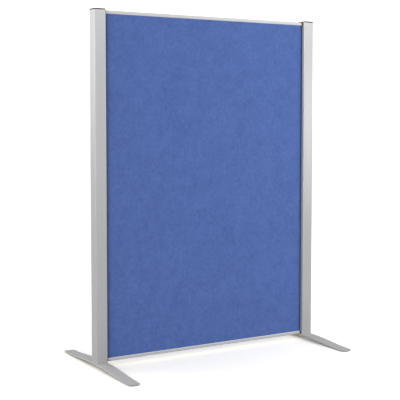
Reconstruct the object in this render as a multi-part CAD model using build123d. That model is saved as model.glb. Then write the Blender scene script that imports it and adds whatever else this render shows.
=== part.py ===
from build123d import *
import math
import os

# Free-standing upholstered office screen: two square extruded posts on arched
# feet carry a thin upholstered panel, capped above and below by slim rails.
# Millimetres, +Z up. X runs along the panel, the front looks to -Y, and the
# origin is on the floor, in the middle of the footprint.

# ---------------------------------------------------------------- driving sizes
HEIGHT = 1600.0            # floor to the top of the post caps
WIDTH = 1200.0             # over the outer faces of the two posts
POST = 55.0                # square post
POST_R = 4.5               # outer corner radius of the post
WALL = 2.2                 # post wall
CAP_T = 5.0                # visible thickness of a post cap
FOOT_TOP = 23.5            # top of a foot, where the post stands on it
GAP = 0.3                  # running clearance between a foot and what it turns on
FOOT_L = 700.0             # foot, tip to tip
FOOT_W_MID = 58.0          # foot width under the post
FOOT_W_TIP = 56.0          # foot width at the tips
FOOT_T_MID = 9.5           # foot thickness under the post
FOOT_T_TIP = 5.5           # foot thickness at the tips
PAD_T = 1.5                # rubber pad under each tip
BOLT_R = 5.0               # M10 foot bolt
SWIVEL_CLEAR = 0.08        # radial clearance of the foot on its bolt

PANEL_T = 25.0             # upholstered panel over both fabrics
SIDE_GAP = 5.0             # between the panel's edge and the post
PANEL_Z0, PANEL_Z1 = 35.0, 1585.5
CORE_T, BOARD_T, FOAM_T, FABRIC_T = 13.0, 3.0, 2.2, 0.8
EDGE_R = 2.5               # rounding of the fabric over the panel's upright edges
BATTEN = 40.0

RAIL_H = 15.4              # rail height
RAIL_LEG = 13.8            # half depth of the rail over its legs
RAIL_BEAD = 14.5           # half depth over the beads beside the fabric
BEAD_H = 4.4               # height of a bead
LIP_SLOPE = 2.8            # height of the slope that leads from the fabric onto a bead
RAIL_TOP = 1594.5
RAIL_SHORT = 3.0           # the rail ends short of the panel's edge by this much
RAIL_WEB = 2.0

SLOT_HALF, SLOT_WALL = 5.0, 2.5          # opening of the post's T-slot
CHAMBER_HALF, CHAMBER_DEEP = 10.0, 9.0   # its chamber behind the opening

# ---------------------------------------------------------------- derived sizes
PX = WIDTH / 2 - POST / 2                # post axis, 572.5
FACE = PX - POST / 2                     # post face that looks at the panel, 545
EDGE = FACE - SIDE_GAP                   # outside of the fabric at the side, 540
RAIL_END = EDGE - RAIL_SHORT
POST_Z0 = FOOT_TOP + GAP
POST_Z1 = HEIGHT - CAP_T
RAIL_LIP = RAIL_TOP - RAIL_H             # lower edge of the top rail, 1576.5
MIRROR_Z = RAIL_TOP + 26.0               # the bottom rail is the top one upside down
Y_CORE = CORE_T / 2
Y_BOARD = Y_CORE + BOARD_T
Y_FOAM = Y_BOARD + FOAM_T
Y_FABRIC = Y_FOAM + FABRIC_T             # 12.5

os.makedirs("parts", exist_ok=True)


def box(x0, x1, y0, y1, z0, z1):
    return Pos((x0 + x1) / 2, (y0 + y1) / 2, (z0 + z1) / 2) * Box(x1 - x0, y1 - y0, z1 - z0)


def rod(x, y, z0, z1, r):
    return Pos(x, y, (z0 + z1) / 2) * Cylinder(r, z1 - z0)


def rod_x(x0, x1, y, z, r):
    return Pos((x0 + x1) / 2, y, z) * Rot(0, 90, 0) * Cylinder(r, x1 - x0)


def upright(sketch, z0, z1):
    return Pos(0, 0, z0) * extrude(sketch, amount=z1 - z0)


def along_x(points, x0, x1):
    """A closed polygon of (y, z) points, drawn out along X."""
    face = make_face(Plane.YZ * Polyline(*points, close=True))
    return Pos(x0, 0, 0) * extrude(face, amount=x1 - x0, dir=(1, 0, 0))


def to_right(shape):
    return mirror(shape, about=Plane.YZ)


def to_bottom(shape):
    """The top rail's pieces, turned upside down for the bottom rail."""
    return Pos(0, 0, MIRROR_Z) * mirror(shape, about=Plane.XY)


def save(name, *shapes):
    solids = []
    for shape in shapes:
        solids += list(shape.solids())
    whole = solids[0] if len(solids) == 1 else Compound(children=solids)
    export_step(whole, "parts/%s.step" % name)
    print(name, len(solids), round(sum(s.volume for s in solids)))


# ---------------------------------------------------------------- posts
# The section is drawn about the post's own axis, with its T-slot towards +x,
# which is the panel's side on the left post.
section = RectangleRounded(POST, POST, POST_R)
section -= RectangleRounded(POST - 2 * WALL, POST - 2 * WALL, POST_R - WALL + 0.4)
half = POST / 2
slot_floor = half - SLOT_WALL - CHAMBER_DEEP
section += Pos((slot_floor - 2 + half - 1) / 2, 0) * Rectangle(half - 1 - slot_floor + 2, 2 * (CHAMBER_HALF + 2))
section += Circle(10.0)
section += Rectangle(POST - 2, 2.0)
section += Rectangle(2.0, POST - 2)
section -= Pos((slot_floor + half - SLOT_WALL) / 2, 0) * Rectangle(CHAMBER_DEEP, 2 * CHAMBER_HALF)
section -= Pos(half - SLOT_WALL / 2, 0) * Rectangle(SLOT_WALL + 0.002, 2 * SLOT_HALF)
section -= Circle(7.5)
post = upright(section, POST_Z0, POST_Z1)
left_post = Pos(-PX, 0, 0) * post
save("left_post", left_post)
save("right_post", to_right(left_post))

# ---------------------------------------------------------------- post caps
# A thin square lid with four skirt pieces that press into the post's corners.
lid = upright(RectangleRounded(POST, POST, POST_R), POST_Z1, HEIGHT)
lid = chamfer(lid.faces().sort_by(Axis.Z)[-1].edges(), 0.6)
skirt_outer = POST - 2 * WALL - 0.2
skirt = RectangleRounded(skirt_outer, skirt_outer, 2.4) - RectangleRounded(skirt_outer - 4, skirt_outer - 4, 0.6)
skirt -= Pos(half - 8, 0) * Rectangle(24, 2 * (CHAMBER_HALF + 2.5))
skirt -= Pos(-half + 4, 0) * Rectangle(16, 3.2)
skirt -= Rectangle(3.2, POST)
cap = lid + upright(skirt, POST_Z1 - 16, POST_Z1)
left_cap = Pos(-PX, 0, 0) * cap
save("left_post_cap", left_cap)
save("right_post_cap", to_right(left_cap))

# ---------------------------------------------------------------- foot bolts
# A steel insert sits in the post's screw port; the bolt comes up through the
# foot into it. The threads are plain cylinders.
insert = rod(-PX, 0, POST_Z0 + 0.5, POST_Z0 + 38.5, 7.48) - rod(-PX, 0, POST_Z0, POST_Z0 + 40, 5.02)
save("left_post_insert", insert)
save("right_post_insert", to_right(insert))

FOOT_UNDER = FOOT_TOP - FOOT_T_MID       # 14
washer_z1 = FOOT_UNDER - GAP
washer = rod(-PX, 0, washer_z1 - 2.0, washer_z1, 14.0) - rod(-PX, 0, washer_z1 - 3, washer_z1 + 1, 5.2)
save("left_foot_washer", washer)
save("right_foot_washer", to_right(washer))

head_z1 = washer_z1 - 2.0
head = rod(-PX, 0, head_z1 - 5.5, head_z1, 10.0)
head = fillet(head.edges().sort_by(Axis.Z)[0], 3.2)
bolt = head + rod(-PX, 0, head_z1, POST_Z0 + 36, BOLT_R)
bolt = chamfer(bolt.faces().sort_by(Axis.Z)[-1].edges(), 0.8)
bolt -= Pos(-PX, 0, head_z1 - 5.5) * extrude(RegularPolygon(3.46, 6), amount=3.2)
save("left_foot_bolt", bolt)
save("right_foot_bolt", to_right(bolt))

# ---------------------------------------------------------------- feet
# A long arched bar: level under the post, sweeping down to flat, thinner tips.
tip_top = PAD_T + FOOT_T_TIP
half_l = FOOT_L / 2


def arch(s, s0, s1, z0, z1):
    t = min(max((abs(s) - s0) / (s1 - s0), 0.0), 1.0)
    return z1 + (z0 - z1) * 0.5 * (1 + math.cos(math.pi * t))


TOP_FLAT, TOP_END = 38.0, 334.0
UNDER_FLAT, UNDER_END = 24.0, 306.0


def curve(s0, s1, z0, z1, sign):
    pts = [(sign * (s0 + (s1 - s0) * k / 8), arch(s0 + (s1 - s0) * k / 8, s0, s1, z0, z1)) for k in range(9)]
    return Spline(*pts, tangents=[(sign, 0), (sign, 0)])


edges = [
    Line((-TOP_FLAT, FOOT_TOP), (TOP_FLAT, FOOT_TOP)),
    curve(TOP_FLAT, TOP_END, FOOT_TOP, tip_top, 1),
    Line((TOP_END, tip_top), (half_l, tip_top)),
    Line((half_l, tip_top), (half_l, PAD_T)),
    Line((half_l, PAD_T), (UNDER_END, PAD_T)),
    curve(UNDER_FLAT, UNDER_END, FOOT_UNDER, PAD_T, 1),
    Line((UNDER_FLAT, FOOT_UNDER), (-UNDER_FLAT, FOOT_UNDER)),
    curve(UNDER_FLAT, UNDER_END, FOOT_UNDER, PAD_T, -1),
    Line((-UNDER_END, PAD_T), (-half_l, PAD_T)),
    Line((-half_l, PAD_T), (-half_l, tip_top)),
    Line((-half_l, tip_top), (-TOP_END, tip_top)),
    curve(TOP_FLAT, TOP_END, FOOT_TOP, tip_top, -1),
]
side = make_face(Plane.YZ * Wire(edges))
bar = Pos(-40, 0, 0) * extrude(side, amount=80, dir=(1, 0, 0))


def half_width(s):
    u = min(abs(s) / half_l, 1.0)
    return (FOOT_W_TIP + (FOOT_W_MID - FOOT_W_TIP) * (1 - u ** 2.6)) / 2


stations = [-350, -260, -175, -85, 0, 85, 175, 260, 350]
plan_edges = [
    Spline(*[(half_width(s), s) for s in stations]),
    Line((half_width(350), 350), (-half_width(350), 350)),
    Spline(*[(-half_width(s), s) for s in reversed(stations)]),
    Line((-half_width(-350), -350), (half_width(-350), -350)),
]
plan = extrude(make_face(Wire(plan_edges)), amount=60)
plan = fillet(plan.edges().filter_by(Axis.Z), 18.0)
foot = bar & (Pos(0, 0, -10) * plan)
foot = foot.solids()[0]
outline_top = [e for f in foot.faces() if f.normal_at().Z > 0.5 for e in f.edges()
               if abs(e.center().X) > 20 or abs(e.center().Y) > 345]
foot = fillet(outline_top, 1.3)
# The long edges and tips are undercut, so that the foot looks thinner than it is.
outline_under = [e for f in foot.faces() if f.normal_at().Z < -0.5 for e in f.edges()
                 if abs(e.center().X) > 20 or abs(e.center().Y) > 345]
foot = chamfer(outline_under, 3.8)
foot = foot - rod(0, 0, 0, 60, BOLT_R + SWIVEL_CLEAR)
left_foot = Pos(-PX, 0, 0) * foot
save("left_foot", left_foot)
save("right_foot", to_right(left_foot))

pad_face = RectangleRounded(FOOT_W_TIP - 12, 28, 12)
pads = [Pos(-PX, sy * (half_l - 20), 0) * extrude(pad_face, amount=PAD_T) for sy in (-1, 1)]
save("left_foot_pads", *pads)
save("right_foot_pads", *[to_right(p) for p in pads])

# ---------------------------------------------------------------- rails
# An upside-down U that grips the panel's edge: a bead beside the fabric, a
# rounded shoulder on the far side, and a chamber for the end connectors.
web_z = RAIL_TOP - RAIL_WEB
BEAD_END = BEAD_H + 1.4
near_side = [(-Y_FABRIC - 0.4, RAIL_LIP), (-RAIL_BEAD, RAIL_LIP + LIP_SLOPE), (-RAIL_BEAD, RAIL_LIP + BEAD_H),
             (-RAIL_LEG, RAIL_LIP + BEAD_END), (-RAIL_LEG, RAIL_TOP)]
outline = near_side + [(-y, z) for y, z in reversed(near_side)]
rail = along_x(outline, -RAIL_END, RAIL_END)
long_edges = rail.edges().filter_by(Axis.X)
shoulders = [e for e in long_edges if e.center().Z > RAIL_TOP - 0.1]
rail = fillet(shoulders, 3.0)
beads = [e for e in rail.edges().filter_by(Axis.X)
         if RAIL_LIP + 1 < e.center().Z < RAIL_LIP + BEAD_END - 0.1 and abs(e.center().Y) > RAIL_BEAD - 0.1]
rail = fillet(beads, 1.4)
rail -= box(-RAIL_END - 1, RAIL_END + 1, -Y_FABRIC, Y_FABRIC, RAIL_LIP - 1, web_z)
SCREW_X = RAIL_END - 20.0
for x in (-SCREW_X, SCREW_X):
    rail -= rod(x, 0, web_z - 1, RAIL_TOP + 1, 2.6)
    rail -= Pos(x, 0, RAIL_TOP - 1.2) * Cone(2.6, 5.02, 2.42)
save("top_rail", rail)
save("bottom_rail", to_bottom(rail))

# Nylon end connectors: a spigot in the rail's chamber, a block that bridges the
# gap to the post, and a T-head in the post's slot.
chamber_z0 = PANEL_Z1 + 0.7
block = box(-FACE, -RAIL_END, -RAIL_LEG + 0.1, RAIL_LEG - 0.1, chamber_z0, RAIL_TOP - 0.1)
block += box(-FACE, -EDGE - 0.4, -RAIL_LEG + 0.1, RAIL_LEG - 0.1, RAIL_LIP, chamber_z0)
block = fillet([e for e in block.edges().filter_by(Axis.X) if e.center().Z > RAIL_TOP - 0.2], 2.9)
spigot = box(-RAIL_END, -RAIL_END + 38, -Y_FABRIC + 0.2, Y_FABRIC - 0.2, chamber_z0, web_z - 0.1)
neck = box(-FACE - SLOT_WALL - 0.2, -FACE, -SLOT_HALF + 0.15, SLOT_HALF - 0.15, RAIL_LIP + 2, RAIL_TOP - 2)
t_head = box(-FACE - SLOT_WALL - 7.5, -FACE - SLOT_WALL - 0.1, -CHAMBER_HALF + 0.4, CHAMBER_HALF - 0.4,
             RAIL_LIP + 2, RAIL_TOP - 2)
connector = block + spigot + neck + t_head
connector -= rod(-SCREW_X, 0, chamber_z0 - 1, web_z + 1, 2.5)
save("top_left_connector", connector)
save("top_right_connector", to_right(connector))
save("bottom_left_connector", to_bottom(connector))
save("bottom_right_connector", to_right(to_bottom(connector)))

screw = rod(-SCREW_X, 0, chamber_z0 + 0.6, RAIL_TOP - 1.9, 2.48) + Pos(-SCREW_X, 0, RAIL_TOP - 1.02) * Cone(2.48, 4.5, 1.86)
screw -= Pos(-SCREW_X, 0, RAIL_TOP - 1.6) * extrude(RegularPolygon(1.73, 6), amount=2)
screws = [screw, to_right(screw), to_bottom(screw), to_right(to_bottom(screw))]
save("rail_screws", *screws)

# ---------------------------------------------------------------- panel
inner_x = EDGE - FABRIC_T - 0.1          # outside of the timber frame and boards
stile = box(-inner_x, -inner_x + BATTEN, -Y_CORE, Y_CORE, PANEL_Z0, PANEL_Z1)
bar_x = inner_x - BATTEN
mid_z = (PANEL_Z0 + PANEL_Z1) / 2
levels = [(PANEL_Z0, PANEL_Z0 + BATTEN), (mid_z - BATTEN / 2, mid_z + BATTEN / 2), (PANEL_Z1 - BATTEN, PANEL_Z1)]
battens = [box(-bar_x, bar_x, -Y_CORE, Y_CORE, a, b) for a, b in levels]
wood_screws = []
for a, b in levels:
    for dz in (10.0, 30.0):
        x0 = -inner_x + 1.0
        shaft = rod_x(x0 + 1.9, x0 + 69, 0, a + dz, 2.0)
        wood_screws.append(shaft + Pos(x0 + 1.0, 0, a + dz) * Rot(0, 90, 0) * Cone(4.0, 2.0, 2.0))
        hole = rod_x(x0 + 1.9, x0 + 69.1, 0, a + dz, 2.02)
        recess = rod_x(-inner_x - 1, x0 + 2.0, 0, a + dz, 4.05)
        stile -= hole
        stile -= recess
        battens = [t - hole for t in battens]
right_holes = [to_right(t) for t in wood_screws]
for a, b in levels:
    for dz in (10.0, 30.0):
        x0 = -inner_x + 1.0
        hole = to_right(rod_x(x0 + 1.9, x0 + 69.1, 0, a + dz, 2.02))
        battens = [t - hole for t in battens]
save("left_stile", stile)
save("right_stile", to_right(stile))
save("bottom_batten", battens[0])
save("middle_batten", battens[1])
save("top_batten", battens[2])
save("frame_screws", *(wood_screws + right_holes))

cores = [box(-bar_x, bar_x, -Y_CORE, Y_CORE, levels[0][1], levels[1][0]),
         box(-bar_x, bar_x, -Y_CORE, Y_CORE, levels[1][1], levels[2][0])]
save("lower_core", cores[0])
save("upper_core", cores[1])

board = box(-inner_x, inner_x, -Y_BOARD, -Y_CORE, PANEL_Z0, PANEL_Z1)
save("front_board", board)
save("rear_board", mirror(board, about=Plane.XZ))

foam = box(-inner_x, inner_x, -Y_FOAM, -Y_BOARD, PANEL_Z0, PANEL_Z1)
foam = fillet([e for e in foam.edges().filter_by(Axis.Z) if e.center().Y < -Y_FOAM + 0.1], EDGE_R - FABRIC_T)
save("front_foam", foam)
save("rear_foam", mirror(foam, about=Plane.XZ))

# The fabric lies over the foam and turns round both upright edges.
cloth = box(-EDGE, EDGE, -Y_FABRIC, -1.0, PANEL_Z0, PANEL_Z1)
cloth = fillet([e for e in cloth.edges().filter_by(Axis.Z) if e.center().Y < -Y_FABRIC + 0.1], EDGE_R)
lining = box(-EDGE + FABRIC_T, EDGE - FABRIC_T, -Y_FOAM, 1.0, PANEL_Z0 - 1, PANEL_Z1 + 1)
lining = fillet([e for e in lining.edges().filter_by(Axis.Z) if e.center().Y < -Y_FOAM + 0.1], EDGE_R - FABRIC_T)
cloth -= lining
save("front_fabric", cloth)
save("rear_fabric", mirror(cloth, about=Plane.XZ))

# Black seal between the panel's edge and the post: a flange over the fabric
# edges, a web across the gap and a barbed tongue in the post's slot.
seal_z0, seal_z1 = MIRROR_Z - RAIL_LIP + 0.2, RAIL_LIP - 0.2
seal_plan = Polyline(
    (-EDGE, -7.5), (-EDGE, 7.5), (-EDGE - 1.5, 7.5), (-EDGE - 1.5, 4.6), (-FACE - 3.0, 4.6), (-FACE - 3.0, 6.4),
    (-FACE - 5.4, 4.2), (-FACE - 5.4, -4.2), (-FACE - 3.0, -6.4), (-FACE - 3.0, -4.6), (-EDGE - 1.5, -4.6),
    (-EDGE - 1.5, -7.5), close=True)
seal = upright(make_face(seal_plan), seal_z0, seal_z1)
save("left_seal", seal)
save("right_seal", to_right(seal))
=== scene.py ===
import math

import bpy
import numpy as np
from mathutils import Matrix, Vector, noise


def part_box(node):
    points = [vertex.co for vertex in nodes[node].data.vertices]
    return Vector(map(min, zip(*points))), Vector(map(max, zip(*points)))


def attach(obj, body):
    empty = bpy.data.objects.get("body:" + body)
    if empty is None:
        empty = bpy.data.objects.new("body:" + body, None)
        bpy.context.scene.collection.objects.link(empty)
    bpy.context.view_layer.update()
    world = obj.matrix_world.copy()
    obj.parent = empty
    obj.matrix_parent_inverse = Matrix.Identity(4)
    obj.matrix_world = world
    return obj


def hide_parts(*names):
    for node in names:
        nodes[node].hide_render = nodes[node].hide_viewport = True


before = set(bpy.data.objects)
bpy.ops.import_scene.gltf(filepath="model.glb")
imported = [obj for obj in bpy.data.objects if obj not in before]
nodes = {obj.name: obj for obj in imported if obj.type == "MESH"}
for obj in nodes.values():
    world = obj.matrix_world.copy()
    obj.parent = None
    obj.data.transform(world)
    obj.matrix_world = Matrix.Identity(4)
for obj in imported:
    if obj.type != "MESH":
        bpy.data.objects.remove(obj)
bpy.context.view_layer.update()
scene = bpy.context.scene
scene.view_settings.view_transform = "Standard"
scene.view_settings.look = "None"

# Sizes of the panel, in millimetres, as the CAD has them.
EDGE, Y_FABRIC, Y_FOAM, Y_BOARD, Y_CORE = 540.0, 12.5, 11.7, 9.5, 6.5
Z0, Z1 = 35.0, 1585.5
LIP0, LIP1 = 41.4, 1579.1
MM = 0.001


# ---------------------------------------------------------------- camera
def aim(camera, place, azimuth, pitch):
    a, p = math.radians(azimuth), math.radians(pitch)
    look = Vector((math.sin(a) * math.cos(p), math.cos(a) * math.cos(p), -math.sin(p)))
    camera.location = place
    camera.rotation_mode = "QUATERNION"
    camera.rotation_quaternion = look.to_track_quat("-Z", "Y")


cam_data = bpy.data.cameras.new("camera")
cam = bpy.data.objects.new("camera", cam_data)
scene.collection.objects.link(cam)
cam_data.sensor_width = 36.0
cam_data.lens = 86.25
cam_data.shift_y = -0.06
cam_data.clip_start, cam_data.clip_end = 0.05, 300.0
aim(cam, (-2.3823, -3.8706, 1.1243), 31.117, 3.516)
scene.camera = cam


# ---------------------------------------------------------------- node helpers
class Shader:
    """A material with one Principled shader, and short ways to add to it."""

    def __init__(self, name):
        self.material = bpy.data.materials.new(name)
        self.material.use_nodes = True
        self.tree = self.material.node_tree
        self.tree.nodes.clear()
        self.out = self.tree.nodes.new("ShaderNodeOutputMaterial")
        self.bsdf = self.tree.nodes.new("ShaderNodeBsdfPrincipled")
        self.tree.links.new(self.bsdf.outputs["BSDF"], self.out.inputs["Surface"])
        self.coords = self.tree.nodes.new("ShaderNodeTexCoord").outputs["Object"]

    def set(self, **values):
        for key, value in values.items():
            self.bsdf.inputs[key.replace("_", " ")].default_value = value
        return self

    def put(self, socket, key):
        self.tree.links.new(socket, self.bsdf.inputs[key])

    def stretch(self, scale, turn=(0, 0, 0), source=None):
        n = self.tree.nodes.new("ShaderNodeMapping")
        n.inputs["Scale"].default_value = scale
        n.inputs["Rotation"].default_value = turn
        self.tree.links.new(source or self.coords, n.inputs["Vector"])
        return n.outputs["Vector"]

    def noise(self, vector, scale=1.0, detail=3.0, rough=0.55, distort=0.0):
        n = self.tree.nodes.new("ShaderNodeTexNoise")
        n.inputs["Scale"].default_value = scale
        n.inputs["Detail"].default_value = detail
        n.inputs["Roughness"].default_value = rough
        n.inputs["Distortion"].default_value = distort
        self.tree.links.new(vector, n.inputs["Vector"])
        return n.outputs["Fac"]

    def cells(self, vector, scale=1.0, feature="F1", spread=1.0):
        n = self.tree.nodes.new("ShaderNodeTexVoronoi")
        n.feature = feature
        n.inputs["Scale"].default_value = scale
        n.inputs["Randomness"].default_value = spread
        self.tree.links.new(vector, n.inputs["Vector"])
        return n.outputs["Distance"]

    def waves(self, vector, scale=1.0, distort=0.0, kind="BANDS", way="X", detail=2.0, dscale=1.0):
        n = self.tree.nodes.new("ShaderNodeTexWave")
        n.wave_type = kind
        if kind == "BANDS":
            n.bands_direction = way
        else:
            n.rings_direction = way
        n.inputs["Scale"].default_value = scale
        n.inputs["Distortion"].default_value = distort
        n.inputs["Detail"].default_value = detail
        n.inputs["Detail Scale"].default_value = dscale
        self.tree.links.new(vector, n.inputs["Vector"])
        return n.outputs["Fac"]

    def math(self, how, a, b=None, c=None):
        n = self.tree.nodes.new("ShaderNodeMath")
        n.operation = how
        for i, v in enumerate((a, b, c)):
            if v is None:
                continue
            if isinstance(v, (int, float)):
                n.inputs[i].default_value = v
            else:
                self.tree.links.new(v, n.inputs[i])
        return n.outputs[0]

    def span(self, value, low, high, from_low=0.3, from_high=0.7):
        n = self.tree.nodes.new("ShaderNodeMapRange")
        n.inputs["From Min"].default_value = from_low
        n.inputs["From Max"].default_value = from_high
        n.inputs["To Min"].default_value = low
        n.inputs["To Max"].default_value = high
        self.tree.links.new(value, n.inputs["Value"])
        return n.outputs["Result"]

    def ramp(self, value, *stops):
        n = self.tree.nodes.new("ShaderNodeValToRGB")
        band = n.color_ramp
        while len(band.elements) < len(stops):
            band.elements.new(0.5)
        for e, (at, colour) in zip(band.elements, stops):
            e.position = at
            e.color = (*colour, 1.0)
        self.tree.links.new(value, n.inputs["Fac"])
        return n.outputs["Color"]

    def mix(self, how, factor, a, b):
        n = self.tree.nodes.new("ShaderNodeMix")
        n.data_type = "RGBA"
        n.blend_type = how
        n.clamp_result = False
        for key, v in ((0, factor), (6, a), (7, b)):
            if isinstance(v, (int, float)):
                n.inputs[key].default_value = v
            elif isinstance(v, tuple):
                n.inputs[key].default_value = (*v, 1.0)
            else:
                self.tree.links.new(v, n.inputs[key])
        return n.outputs[2]

    def bump(self, height, distance, strength=1.0, after=None):
        n = self.tree.nodes.new("ShaderNodeBump")
        n.inputs["Distance"].default_value = distance
        n.inputs["Strength"].default_value = strength
        self.tree.links.new(height, n.inputs["Height"])
        if after is not None:
            self.tree.links.new(after, n.inputs["Normal"])
        return n.outputs["Normal"]


# ---------------------------------------------------------------- metals
def aluminium(name, along, metal, grain_spread, dull):
    """Satin anodised extrusion: fine lines and faint broad streaks along its length."""
    s = Shader(name).set(Metallic=metal, Specular_IOR_Level=0.5, Anisotropic=grain_spread,
                         Anisotropic_Rotation=0.0 if along == 2 else 0.25)
    fine = [1500.0] * 3
    broad = [160.0] * 3
    soft = [9.0] * 3
    fine[along], broad[along], soft[along] = 3.0, 0.8, 1.6
    lines = s.noise(s.stretch(fine), detail=2.0, rough=0.6)
    streaks = s.noise(s.stretch(broad), detail=3.0)
    cloud = s.noise(s.stretch(soft), detail=2.0)
    grain = s.noise(s.coords, scale=3200.0, detail=1.0)
    tone = s.ramp(streaks, (0.30, (0.618, 0.619, 0.620)), (0.70, (0.652, 0.652, 0.650)))
    tone = s.mix("MULTIPLY", 0.35, tone, s.ramp(cloud, (0.30, (0.95, 0.95, 0.955)), (0.70, (1.0, 1.0, 1.0))))
    s.put(tone, "Base Color")
    rough = s.math("ADD", s.span(lines, dull, dull + 0.08), s.span(cloud, -0.02, 0.03))
    s.put(rough, "Roughness")
    n = s.bump(lines, 0.00004, 0.55)
    n = s.bump(grain, 0.00002, 0.35, after=n)
    s.put(n, "Normal")
    return s.material


def foot_paint():
    """Silver-grey powder coat: fine orange peel and a little flake."""
    s = Shader("foot_paint_silver").set(Metallic=0.08, Specular_IOR_Level=0.32)
    peel = s.noise(s.coords, scale=520.0, detail=2.0, rough=0.5)
    flake = s.cells(s.coords, scale=2400.0)
    cloud = s.noise(s.coords, scale=14.0, detail=3.0)
    tone = s.ramp(flake, (0.10, (0.520, 0.508, 0.495)), (0.75, (0.472, 0.461, 0.449)))
    tone = s.mix("MULTIPLY", 0.6, tone, s.ramp(cloud, (0.30, (0.94, 0.94, 0.94)), (0.70, (1.0, 1.0, 1.0))))
    s.put(tone, "Base Color")
    s.put(s.span(peel, 0.56, 0.66), "Roughness")
    n = s.bump(peel, 0.00012, 0.5)
    n = s.bump(flake, 0.00003, 0.4, after=n)
    s.put(n, "Normal")
    return s.material


def zinc():
    s = Shader("zinc_plate").set(Metallic=1.0)
    grain = s.noise(s.coords, scale=900.0, detail=3.0)
    cloud = s.noise(s.coords, scale=120.0, detail=2.0)
    s.put(s.ramp(cloud, (0.30, (0.60, 0.61, 0.62)), (0.70, (0.70, 0.70, 0.69))), "Base Color")
    s.put(s.span(grain, 0.26, 0.40), "Roughness")
    s.put(s.bump(grain, 0.00003, 0.5), "Normal")
    return s.material


# ---------------------------------------------------------------- plastics, rubber
def black_plastic(name, dark, light, shine):
    s = Shader(name).set(Specular_IOR_Level=shine)
    grain = s.noise(s.coords, scale=1500.0, detail=3.0, rough=0.65)
    cloud = s.noise(s.coords, scale=60.0, detail=2.0)
    s.put(s.ramp(cloud, (0.30, (dark, dark, dark * 1.05)), (0.70, (light, light, light * 1.06))), "Base Color")
    s.put(s.span(grain, 0.40, 0.56), "Roughness")
    s.put(s.bump(grain, 0.00006, 0.5), "Normal")
    return s.material


def rubber(name, dark, light, along=None):
    s = Shader(name).set(Specular_IOR_Level=0.3)
    scale = [1100.0] * 3
    if along is not None:
        scale[along] = 25.0
    grain = s.noise(s.stretch(scale), detail=3.0, rough=0.6)
    dust = s.noise(s.coords, scale=45.0, detail=4.0)
    s.put(s.ramp(dust, (0.35, (dark,) * 3), (0.75, (light, light, light * 1.03))), "Base Color")
    s.put(s.span(grain, 0.62, 0.80), "Roughness")
    s.put(s.bump(grain, 0.00008, 0.5), "Normal")
    return s.material


# ---------------------------------------------------------------- wood, board, fibre, foam
def softwood(name, along):
    s = Shader(name).set(Specular_IOR_Level=0.25)
    size = [70.0, 70.0, 70.0]
    size[along] = 3.0
    rings = s.waves(s.stretch(size), scale=1.4, distort=5.0, way="Y" if along != 1 else "X", detail=3.0, dscale=0.8)
    pore = [1600.0] * 3
    pore[along] = 22.0
    pores = s.noise(s.stretch(pore), detail=2.0)
    tone = s.ramp(rings, (0.0, (0.52, 0.34, 0.18)), (0.5, (0.66, 0.47, 0.28)), (1.0, (0.72, 0.54, 0.34)))
    tone = s.mix("MULTIPLY", 0.4, tone, s.ramp(pores, (0.35, (0.80, 0.74, 0.66)), (0.65, (1.0, 1.0, 1.0))))
    s.put(tone, "Base Color")
    s.put(s.span(pores, 0.72, 0.60), "Roughness")
    s.put(s.bump(pores, 0.00012, 0.5), "Normal")
    return s.material


def hardboard():
    s = Shader("hardboard_brown").set(Specular_IOR_Level=0.3)
    fibre = s.noise(s.stretch((420.0, 420.0, 420.0)), detail=4.0, rough=0.7, distort=0.6)
    blotch = s.noise(s.coords, scale=24.0, detail=3.0)
    tone = s.ramp(fibre, (0.30, (0.165, 0.090, 0.046)), (0.72, (0.300, 0.185, 0.105)))
    tone = s.mix("MULTIPLY", 0.4, tone, s.ramp(blotch, (0.3, (0.86, 0.84, 0.82)), (0.7, (1.0, 1.0, 1.0))))
    s.put(tone, "Base Color")
    s.put(s.span(fibre, 0.45, 0.60), "Roughness")
    s.put(s.bump(fibre, 0.00010, 0.5), "Normal")
    return s.material


def fibre_batt():
    s = Shader("fibre_infill").set(Roughness=0.95, Specular_IOR_Level=0.1, Sheen_Weight=0.2)
    a = s.noise(s.stretch((1200.0, 1200.0, 130.0), turn=(0.0, 0.5, 0.0)), detail=3.0, distort=0.8)
    b = s.noise(s.stretch((130.0, 1200.0, 1200.0), turn=(0.0, 0.9, 0.0)), detail=3.0, distort=0.8)
    both = s.math("MAXIMUM", a, b)
    s.put(s.ramp(both, (0.40, (0.50, 0.45, 0.33)), (0.75, (0.74, 0.70, 0.57))), "Base Color")
    s.put(s.bump(both, 0.0006, 0.6), "Normal")
    return s.material


def foam():
    s = Shader("foam_open_cell").set(Roughness=0.92, Specular_IOR_Level=0.12, Subsurface_Weight=0.05)
    cell = s.cells(s.coords, scale=1100.0)
    s.put(s.ramp(cell, (0.10, (0.58, 0.57, 0.52)), (0.55, (0.80, 0.79, 0.74))), "Base Color")
    s.put(s.bump(cell, 0.0003, 0.6), "Normal")
    return s.material


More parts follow.
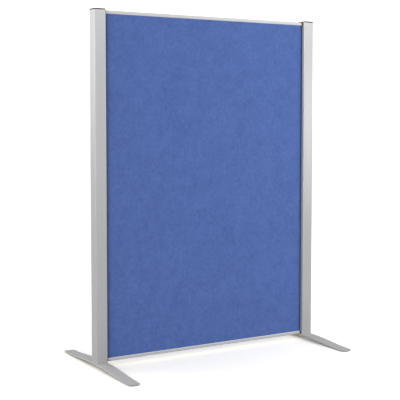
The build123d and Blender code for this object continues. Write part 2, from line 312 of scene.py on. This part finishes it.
# ---------------------------------------------------------------- upholstery
def blue_felt():
    """Dense felted wool-look cloth: a 1 mm plain weave nearly hidden under matted fibres, with a soft mottle."""
    s = Shader("blue_felted_cloth").set(
        Roughness=0.93, Specular_IOR_Level=0.12, Sheen_Weight=0.28, Sheen_Roughness=0.42)
    s.bsdf.inputs["Sheen Tint"].default_value = (0.62, 0.72, 1.0, 1.0)
    # Fibres lie at three angles, each a long thin noise.
    fibres = None
    for turn in (0.15, 1.20, 2.25):
        one = s.noise(s.stretch((900.0, 900.0, 5200.0), turn=(0.0, turn, 0.0)), detail=2.0, rough=0.6, distort=0.5)
        fibres = one if fibres is None else s.math("MAXIMUM", fibres, one)
    warp = s.waves(s.stretch((1.0, 0.0, 0.0)), scale=320.0, distort=0.8, way="X", dscale=3.0)
    weft = s.waves(s.stretch((0.0, 0.0, 1.0)), scale=320.0, distort=0.8, way="Z", dscale=3.0)
    weave = s.math("MULTIPLY", warp, weft)
    speck = s.noise(s.coords, scale=420.0, detail=4.0, rough=0.65)
    mottle = s.noise(s.stretch((78.0, 78.0, 62.0)), detail=4.0, rough=0.62)
    patch = s.noise(s.stretch((26.0, 26.0, 21.0)), detail=3.0, rough=0.60, distort=0.4)
    cloud = s.noise(s.coords, scale=8.0, detail=2.0, rough=0.5)
    shade = s.math("ADD", s.span(mottle, -0.095, 0.095), s.span(cloud, -0.030, 0.030))
    shade = s.math("ADD", shade, s.span(patch, -0.058, 0.058))
    shade = s.math("ADD", shade, s.span(speck, -0.070, 0.070))
    shade = s.math("ADD", shade, s.span(fibres, -0.10, 0.08, 0.45, 0.75))
    shade = s.math("ADD", shade, s.span(weave, -0.025, 0.02, 0.0, 1.0))
    tone = s.ramp(s.math("ADD", shade, 0.5),
                  (0.20, (0.058, 0.105, 0.316)), (0.50, (0.0965, 0.1655, 0.442)), (0.80, (0.141, 0.229, 0.563)))
    # Over the last 20 mm before the upright joints the cloth is toned down, in place of the shade that lies there.
    parts = s.tree.nodes.new("ShaderNodeSeparateXYZ")
    s.tree.links.new(s.coords, parts.inputs[0])
    across = s.span(s.math("ABSOLUTE", parts.outputs["X"]), 0.0, 1.0, 0.516, 0.541)
    painted_joint_shade = s.ramp(across, (0.0, (1.0, 1.0, 1.0)), (0.36, (0.96, 0.96, 0.96)), (0.52, (0.90, 0.90, 0.90)),
                  (0.68, (0.75, 0.75, 0.75)), (0.84, (0.54, 0.54, 0.54)), (1.0, (0.46, 0.46, 0.46)))
    tone = s.mix("MULTIPLY", 1.0, tone, painted_joint_shade)
    s.put(tone, "Base Color")
    n = s.bump(weave, 0.00018, 0.35)
    n = s.bump(fibres, 0.00030, 0.55, after=n)
    n = s.bump(mottle, 0.00060, 0.22, after=n)
    s.put(n, "Normal")
    return s.material


made = {
    "post": aluminium("aluminium_upright", 2, 0.66, 0.75, 0.38),
    "rail": aluminium("aluminium_level", 0, 0.30, 0.3, 0.52),
    "foot": foot_paint(),
    "zinc": zinc(),
    "plastic": black_plastic("black_plastic_moulded", 0.014, 0.024, 0.40),
    "cap": black_plastic("black_plastic_cap", 0.002, 0.005, 0.09),
    "seal": rubber("seal_rubber", 0.008, 0.018, along=2),
    "pad": rubber("pad_rubber", 0.012, 0.030),
    "wood_z": softwood("softwood_upright", 2),
    "wood_x": softwood("softwood_level", 0),
    "board": hardboard(),
    "batt": fibre_batt(),
    "foam": foam(),
    "felt": blue_felt(),
}
FINISH = {
    "left_post": "post", "right_post": "post", "top_rail": "rail", "bottom_rail": "rail",
    "left_foot": "foot", "right_foot": "foot", "left_foot_pads": "pad", "right_foot_pads": "pad",
    "left_post_cap": "cap", "right_post_cap": "cap",
    "top_left_connector": "plastic", "top_right_connector": "plastic",
    "bottom_left_connector": "plastic", "bottom_right_connector": "plastic",
    "left_seal": "seal", "right_seal": "seal",
    "left_post_insert": "zinc", "right_post_insert": "zinc", "left_foot_washer": "zinc",
    "right_foot_washer": "zinc", "left_foot_bolt": "zinc", "right_foot_bolt": "zinc",
    "rail_screws": "zinc", "frame_screws": "zinc",
    "left_stile": "wood_z", "right_stile": "wood_z",
    "top_batten": "wood_x", "middle_batten": "wood_x", "bottom_batten": "wood_x",
    "front_board": "board", "rear_board": "board", "upper_core": "batt", "lower_core": "batt",
    "front_foam": "foam", "rear_foam": "foam", "front_fabric": "felt", "rear_fabric": "felt",
}
for node, finish in FINISH.items():
    slots = nodes[node].material_slots
    for slot in slots:
        slot.material = made[finish]


# ---------------------------------------------------------------- soft pieces
def smoothstep(t):
    t = np.clip(t, 0.0, 1.0)
    return t * t * (3 - 2 * t)


def stations(low, high, fine, coarse, reach):
    """Stations from low to high, close together near both ends."""
    at = [low]
    mid = (low + high) / 2
    while at[-1] < mid:
        at.append(at[-1] + fine + (coarse - fine) * (1 - math.exp(-(at[-1] - low) / reach)))
    half = np.array(at)
    half = low + (half - low) * (mid - low) / (half[-1] - low)
    return np.concatenate([half, (low + high) - half[-2::-1]])


def new_piece(name, verts, faces, finish, smooth=True):
    mesh = bpy.data.meshes.new(name)
    mesh.from_pydata([tuple(v) for v in verts], [], faces)
    mesh.validate()
    mesh.update()
    if smooth:
        mesh.polygons.foreach_set("use_smooth", [True] * len(mesh.polygons))
    mesh.materials.append(made[finish])
    obj = bpy.data.objects.new(name, mesh)
    scene.collection.objects.link(obj)
    return obj


def crown_by_simulation():
    """The cloth is held all round and pressed from behind by the foam; returns how far it stands out, 0 to 1, on a grid."""
    nx, nz = 37, 53
    xs, zs = np.linspace(-0.531, 0.531, nx), np.linspace(LIP0 * MM, LIP1 * MM, nz)
    gx, gz = np.meshgrid(xs, zs)
    verts = [(x, 0.0, z) for x, z in zip(gx.ravel(), gz.ravel())]
    faces = [(j * nx + i, j * nx + i + 1, (j + 1) * nx + i + 1, (j + 1) * nx + i)
             for j in range(nz - 1) for i in range(nx - 1)]
    obj = new_piece("crown_trial", verts, faces, "felt")
    held = obj.vertex_groups.new(name="held")
    rim = [j * nx + i for j in range(nz) for i in range(nx) if i in (0, nx - 1) or j in (0, nz - 1)]
    held.add(rim, 1.0, "REPLACE")
    cloth = obj.modifiers.new("cloth", "CLOTH")
    cloth.settings.quality = 6
    cloth.settings.mass = 0.15
    cloth.settings.tension_stiffness = 40.0
    cloth.settings.compression_stiffness = 40.0
    cloth.settings.shear_stiffness = 20.0
    cloth.settings.bending_stiffness = 0.5
    cloth.settings.tension_damping = 25.0
    cloth.settings.compression_damping = 25.0
    cloth.settings.vertex_group_mass = "held"
    cloth.settings.use_pressure = True
    cloth.settings.uniform_pressure_force = 0.6
    cloth.settings.effector_weights.gravity = 0.0
    cloth.collision_settings.use_collision = False
    cloth.collision_settings.use_self_collision = False
    cloth.point_cache.frame_start, cloth.point_cache.frame_end = 1, 24
    for f in range(1, 25):
        scene.frame_set(f)
    done = obj.evaluated_get(bpy.context.evaluated_depsgraph_get()).to_mesh()
    out = np.zeros(len(done.vertices) * 3)
    done.vertices.foreach_get("co", out)
    stands = -out.reshape(-1, 3)[:, 1].reshape(nz, nx)
    scene.frame_set(1)
    mesh = obj.data
    bpy.data.objects.remove(obj)
    bpy.data.meshes.remove(mesh)
    if stands.mean() < 0:
        stands = -stands
    stands = np.clip(stands, 0.0, None)
    top = float(np.quantile(stands, 0.98))
    if top < 1e-6:
        raise SystemExit("the cloth trial didn't move")
    print("cloth trial stands out by", round(top * 1000, 3), "mm")
    return xs, zs, np.clip(stands / top, 0.0, 1.0)


crown_x, crown_z, crown = crown_by_simulation()


def crown_at(x, z):
    """The crown at points in millimetres, read between the trial's grid points."""
    u = np.clip((x * MM - crown_x[0]) / (crown_x[-1] - crown_x[0]), 0, 1) * (len(crown_x) - 1)
    v = np.clip((z * MM - crown_z[0]) / (crown_z[-1] - crown_z[0]), 0, 1) * (len(crown_z) - 1)
    i, j = np.minimum(u.astype(int), len(crown_x) - 2), np.minimum(v.astype(int), len(crown_z) - 2)
    a, b = u - i, v - j
    a, b = a * a * (3 - 2 * a) * 0.35 + a * 0.65, b * b * (3 - 2 * b) * 0.35 + b * 0.65
    return (crown[j, i] * (1 - a) * (1 - b) + crown[j, i + 1] * a * (1 - b)
            + crown[j + 1, i] * (1 - a) * b + crown[j + 1, i + 1] * a * b)


def wander(points, seed, size):
    return np.array([noise.noise(Vector((p / size, seed * 7.31, 0.37))) for p in points])


ROLL = 1.1


def stand_out(x, z, seed):
    """How far the cloth's face stands out of the CAD face, in millimetres."""
    to_lip = np.minimum(z - LIP0, LIP1 - z)
    to_side = (EDGE - 2.5) - np.abs(x)
    held = smoothstep(to_lip / 26.0) * smoothstep(to_side / 26.0)
    h = 0.85 * crown_at(x, z) * held
    # It rolls off softly towards the upright edges, over the rounded edge of the foam.
    h -= ROLL * (1 - smoothstep(to_side / 15.0))
    # The foam is squeezed at the rails' lips, and the cloth dips a little there.
    h -= 0.22 * np.exp(-np.clip(to_lip, 0, None) / 5.0) * smoothstep((to_side + 2) / 6.0)
    # Faint ripples where the cloth is pulled over the edges.
    xr, zr = np.unique(x), np.unique(z)
    along_x = np.interp(x, xr, wander(xr, seed, 31.0) + 0.5 * wander(xr, seed + 3, 13.0))
    along_z = np.interp(z, zr, wander(zr, seed + 5, 37.0) + 0.5 * wander(zr, seed + 8, 15.0))
    inside = smoothstep(to_lip / 6.0) * smoothstep(to_side / 4.0)
    h += 0.16 * along_x * np.exp(-np.clip(to_lip, 0, None) / 17.0) * inside
    h += 0.13 * along_z * np.exp(-np.clip(to_side, 0, None) / 15.0) * inside
    return h


def cloth_sheet(name, side, seed):
    """The cloth over one face of the panel, with a return round each upright edge. side is -1 for the front."""
    flat_x = stations(-EDGE + 2.5, EDGE - 2.5, 2.2, 13.0, 45.0)
    rows = stations(Z0, Z1, 2.2, 13.0, 45.0)
    path = [(-EDGE, y, 0.0) for y in (1.0, 3.3, 5.6, 7.8, 9.2)]
    path += [(-EDGE + 2.5 - 2.5 * math.cos(a), 10.0 + (2.5 - ROLL) * math.sin(a), 0.0)
             for a in np.radians(np.arange(0.0, 90.0, 15.0))]
    path += [(x, Y_FABRIC, 1.0) for x in flat_x]
    left = path[:11]
    path += [(-x, y, w) for x, y, w in reversed(left)]
    px, py, pw = (np.array(c) for c in zip(*path))
    gx, gz = np.meshgrid(px, rows)
    gy = np.broadcast_to(py, gx.shape) + np.broadcast_to(pw, gx.shape) * stand_out(
        gx.ravel(), gz.ravel(), seed).reshape(gx.shape)
    nx, nz = len(px), len(rows)
    verts = np.stack([gx, side * gy, gz], axis=-1).reshape(-1, 3) * MM
    faces = []
    for j in range(nz - 1):
        for i in range(nx - 1):
            quad = (j * nx + i, j * nx + i + 1, (j + 1) * nx + i + 1, (j + 1) * nx + i)
            faces.append(quad if side < 0 else quad[::-1])
    obj = new_piece(name, verts, faces, "felt")
    thick = obj.modifiers.new("cloth_thickness", "SOLIDIFY")
    thick.thickness = 0.8 * MM
    thick.offset = -1.0
    thick.use_even_offset = True
    return obj


def foam_pad(name, side, seed):
    """The thin foam between board and cloth; its face follows the cloth's inner side."""
    edge_x = EDGE - 0.9
    flat_x = stations(-edge_x + 1.7, edge_x - 1.7, 4.0, 20.0, 60.0)
    turn = np.radians(np.arange(0.0, 90.0, 22.5))
    left = [(-edge_x + 1.7 - 1.7 * math.cos(a), 1.7 * (1 - math.sin(a))) for a in turn]
    px = np.array([p[0] for p in left] + list(flat_x) + [-p[0] for p in reversed(left)])
    drop = np.array([p[1] for p in left] + [0.0] * len(flat_x) + [p[1] for p in reversed(left)])
    rows = stations(Z0 + 0.3, Z1 - 0.3, 4.0, 20.0, 60.0)
    gx, gz = np.meshgrid(px, rows)
    out = Y_FOAM - 0.04 - np.broadcast_to(drop, gx.shape) + stand_out(gx.ravel(), gz.ravel(), seed).reshape(gx.shape)
    out = np.maximum(out, Y_BOARD + 0.3)
    nx, nz = len(px), len(rows)
    face = np.stack([gx, side * out, gz], axis=-1).reshape(-1, 3)
    back = np.stack([gx, np.full(gx.shape, side * (Y_BOARD + 0.02)), gz], axis=-1).reshape(-1, 3)
    verts = np.concatenate([face, back]) * MM
    k = nx * nz
    faces = []
    for j in range(nz - 1):
        for i in range(nx - 1):
            a, b, c, d = j * nx + i, j * nx + i + 1, (j + 1) * nx + i + 1, (j + 1) * nx + i
            faces += [(a, b, c, d), (k + d, k + c, k + b, k + a)]
    rim = ([i for i in range(nx)] + [j * nx + nx - 1 for j in range(1, nz)]
           + [(nz - 1) * nx + i for i in range(nx - 2, -1, -1)] + [j * nx for j in range(nz - 2, 0, -1)])
    for a, b in zip(rim, rim[1:] + rim[:1]):
        faces.append((b, a, k + a, k + b))
    if side > 0:
        faces = [f[::-1] for f in faces]
    return new_piece(name, verts, faces, "foam")


def batt(name, node, seed):
    """A soft fibre infill board: its faces are slightly uneven and its edges soft."""
    lo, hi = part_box(node)
    x1, z0, z1, y1 = hi[0] / MM - 0.3, lo[2] / MM + 0.3, hi[2] / MM - 0.3, hi[1] / MM - 0.15
    px, rows = stations(-x1, x1, 3.0, 17.0, 25.0), stations(z0, z1, 3.0, 17.0, 25.0)
    gx, gz = np.meshgrid(px, rows)
    near = np.minimum(x1 - np.abs(gx), np.minimum(gz - z0, z1 - gz))
    soft = 1.6 * np.exp(-near / 2.2)
    rough = np.array([[noise.fractal(Vector((x / 23.0, z / 23.0, seed * 3.7)), 1.0, 2.1, 3) for x in px] for z in rows])
    fill = y1 - soft - 0.25 - 0.22 * np.clip(rough + 0.4, 0.0, 1.2)
    nx, nz = len(px), len(rows)
    front = np.stack([gx, -fill, gz], axis=-1).reshape(-1, 3)
    rear = np.stack([gx, fill, gz], axis=-1).reshape(-1, 3)
    verts = np.concatenate([front, rear]) * MM
    k = nx * nz
    faces = []
    for j in range(nz - 1):
        for i in range(nx - 1):
            a, b, c, d = j * nx + i, j * nx + i + 1, (j + 1) * nx + i + 1, (j + 1) * nx + i
            faces += [(a, b, c, d), (k + d, k + c, k + b, k + a)]
    rim = ([i for i in range(nx)] + [j * nx + nx - 1 for j in range(1, nz)]
           + [(nz - 1) * nx + i for i in range(nx - 2, -1, -1)] + [j * nx for j in range(nz - 2, 0, -1)])
    for a, b in zip(rim, rim[1:] + rim[:1]):
        faces.append((b, a, k + a, k + b))
    return new_piece(name, verts, faces, "batt")


for where, side, seed in (("front", -1, 1), ("rear", 1, 2)):
    pad = foam_pad(where + "_pad", side, seed)
    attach(pad, "screen")
    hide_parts(where + "_foam")
    cloth = cloth_sheet(where + "_cloth", side, seed)
    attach(cloth, "screen")
    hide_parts(where + "_fabric")
for node, seed in (("upper_core", 1), ("lower_core", 2)):
    piece = batt(node.replace("core", "batt"), node, seed)
    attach(piece, "screen")
    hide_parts(node)


# ---------------------------------------------------------------- floor
floor_mesh = bpy.data.meshes.new("floor")
floor_mesh.from_pydata([(-80, -80, 0), (80, -80, 0), (80, 80, 0), (-80, 80, 0)], [], [(0, 1, 2, 3)])
floor = bpy.data.objects.new("floor", floor_mesh)
scene.collection.objects.link(floor)
paper = bpy.data.materials.new("floor_paper")
paper.use_nodes = True
t = paper.node_tree
t.nodes.clear()
surface = t.nodes.new("ShaderNodeOutputMaterial")
path = t.nodes.new("ShaderNodeLightPath")
faces_away = t.nodes.new("ShaderNodeNewGeometry")
tone = t.nodes.new("ShaderNodeMix")
tone.data_type = "RGBA"
tone.inputs[6].default_value = (0.52, 0.52, 0.52, 1.0)
tone.inputs[7].default_value = (1.27, 1.24, 1.16, 1.0)
matt = t.nodes.new("ShaderNodeBsdfDiffuse")
clear = t.nodes.new("ShaderNodeBsdfTransparent")
either = t.nodes.new("ShaderNodeMixShader")
t.links.new(path.outputs["Is Camera Ray"], tone.inputs[0])
t.links.new(tone.outputs[2], matt.inputs["Color"])
t.links.new(faces_away.outputs["Backfacing"], either.inputs["Fac"])
t.links.new(matt.outputs["BSDF"], either.inputs[1])
t.links.new(clear.outputs["BSDF"], either.inputs[2])
t.links.new(either.outputs["Shader"], surface.inputs["Surface"])
floor_mesh.materials.append(paper)

# ---------------------------------------------------------------- studio
world = bpy.data.worlds.new("studio")
scene.world = world
world.use_nodes = True
t = world.node_tree
t.nodes.clear()


def wmath(how, a, b=None, c=None, clamp=False):
    n = t.nodes.new("ShaderNodeMath")
    n.operation = how
    n.use_clamp = clamp
    for i, v in enumerate((a, b, c)):
        if v is None:
            continue
        if isinstance(v, (int, float)):
            n.inputs[i].default_value = v
        else:
            t.links.new(v, n.inputs[i])
    return n.outputs[0]


def glow(direction, inner, outer):
    """1 near a direction, falling smoothly to 0: one soft light bank of the studio."""
    d = Vector(direction).normalized()
    n = t.nodes.new("ShaderNodeVectorMath")
    n.operation = "DOT_PRODUCT"
    n.inputs[1].default_value = d
    t.links.new(sky.outputs["Generated"], n.inputs[0])
    m = t.nodes.new("ShaderNodeMapRange")
    m.interpolation_type = "SMOOTHSTEP"
    m.inputs["From Min"].default_value = math.cos(math.radians(outer))
    m.inputs["From Max"].default_value = math.cos(math.radians(inner))
    t.links.new(n.outputs["Value"], m.inputs["Value"])
    return m.outputs["Result"]


def bank(azimuth, elevation, strength, outer=42.0):
    """A soft light bank: azimuth in degrees from the front towards +X, elevation above the floor."""
    a, e = math.radians(azimuth), math.radians(elevation)
    toward = (math.sin(a) * math.cos(e), -math.cos(a) * math.cos(e), math.sin(e))
    return wmath("MULTIPLY", glow(toward, 0.0, outer), strength)


sky = t.nodes.new("ShaderNodeTexCoord")
light = bank(175, 45, 0.091, outer=55.0)
for azimuth, elevation, strength, outer in (
        (78, 10, 1.12, 42.0), (-70, 10, 1.28, 42.0), (-70, 42, 0.432, 42.0), (-155, 10, 0.758, 42.0),
        (-155, 42, 1.04, 42.0), (-62, 6, 3.2, 24.0)):
    light = wmath("ADD", light, bank(azimuth, elevation, strength, outer))
light = wmath("ADD", light, 0.402)
path = t.nodes.new("ShaderNodeLightPath")
seen = t.nodes.new("ShaderNodeMix")
seen.data_type = "FLOAT"
t.links.new(path.outputs["Is Camera Ray"], seen.inputs[0])
t.links.new(light, seen.inputs[2])
seen.inputs[3].default_value = 1.3
back = t.nodes.new("ShaderNodeBackground")
t.links.new(seen.outputs[0], back.inputs["Strength"])
back.inputs["Color"].default_value = (1.0, 1.0, 1.0, 1.0)
end = t.nodes.new("ShaderNodeOutputWorld")
t.links.new(back.outputs["Background"], end.inputs["Surface"])


def softbox(name, place, target, size, power):
    data = bpy.data.lights.new(name, "AREA")
    data.shape = "RECTANGLE"
    data.size, data.size_y = size
    data.energy = power
    obj = bpy.data.objects.new(name, data)
    scene.collection.objects.link(obj)
    obj.location = place
    obj.rotation_mode = "QUATERNION"
    obj.rotation_quaternion = (Vector(target) - Vector(place)).to_track_quat("-Z", "Y")
    return obj


softbox("overhead_bank", (0.2, -0.6, 4.6), (0.0, 0.0, 0.5), (4.0, 3.0), 14.4)
softbox("near_right", (1.9, -1.7, 1.75), (0.55, 0.0, 1.2), (1.7, 1.7), 3.85)
softbox("low_right", (1.8, -1.6, 0.95), (0.55, 0.0, 0.75), (1.4, 0.9), 3.4)
softbox("near_left", (-1.45, 1.8, 1.75), (-0.6, 0.0, 1.2), (1.5, 1.7), 2.5)
softbox("key_right", (2.4, -2.8, 3.2), (0.0, 0.0, 0.9), (2.0, 2.0), 46.0)
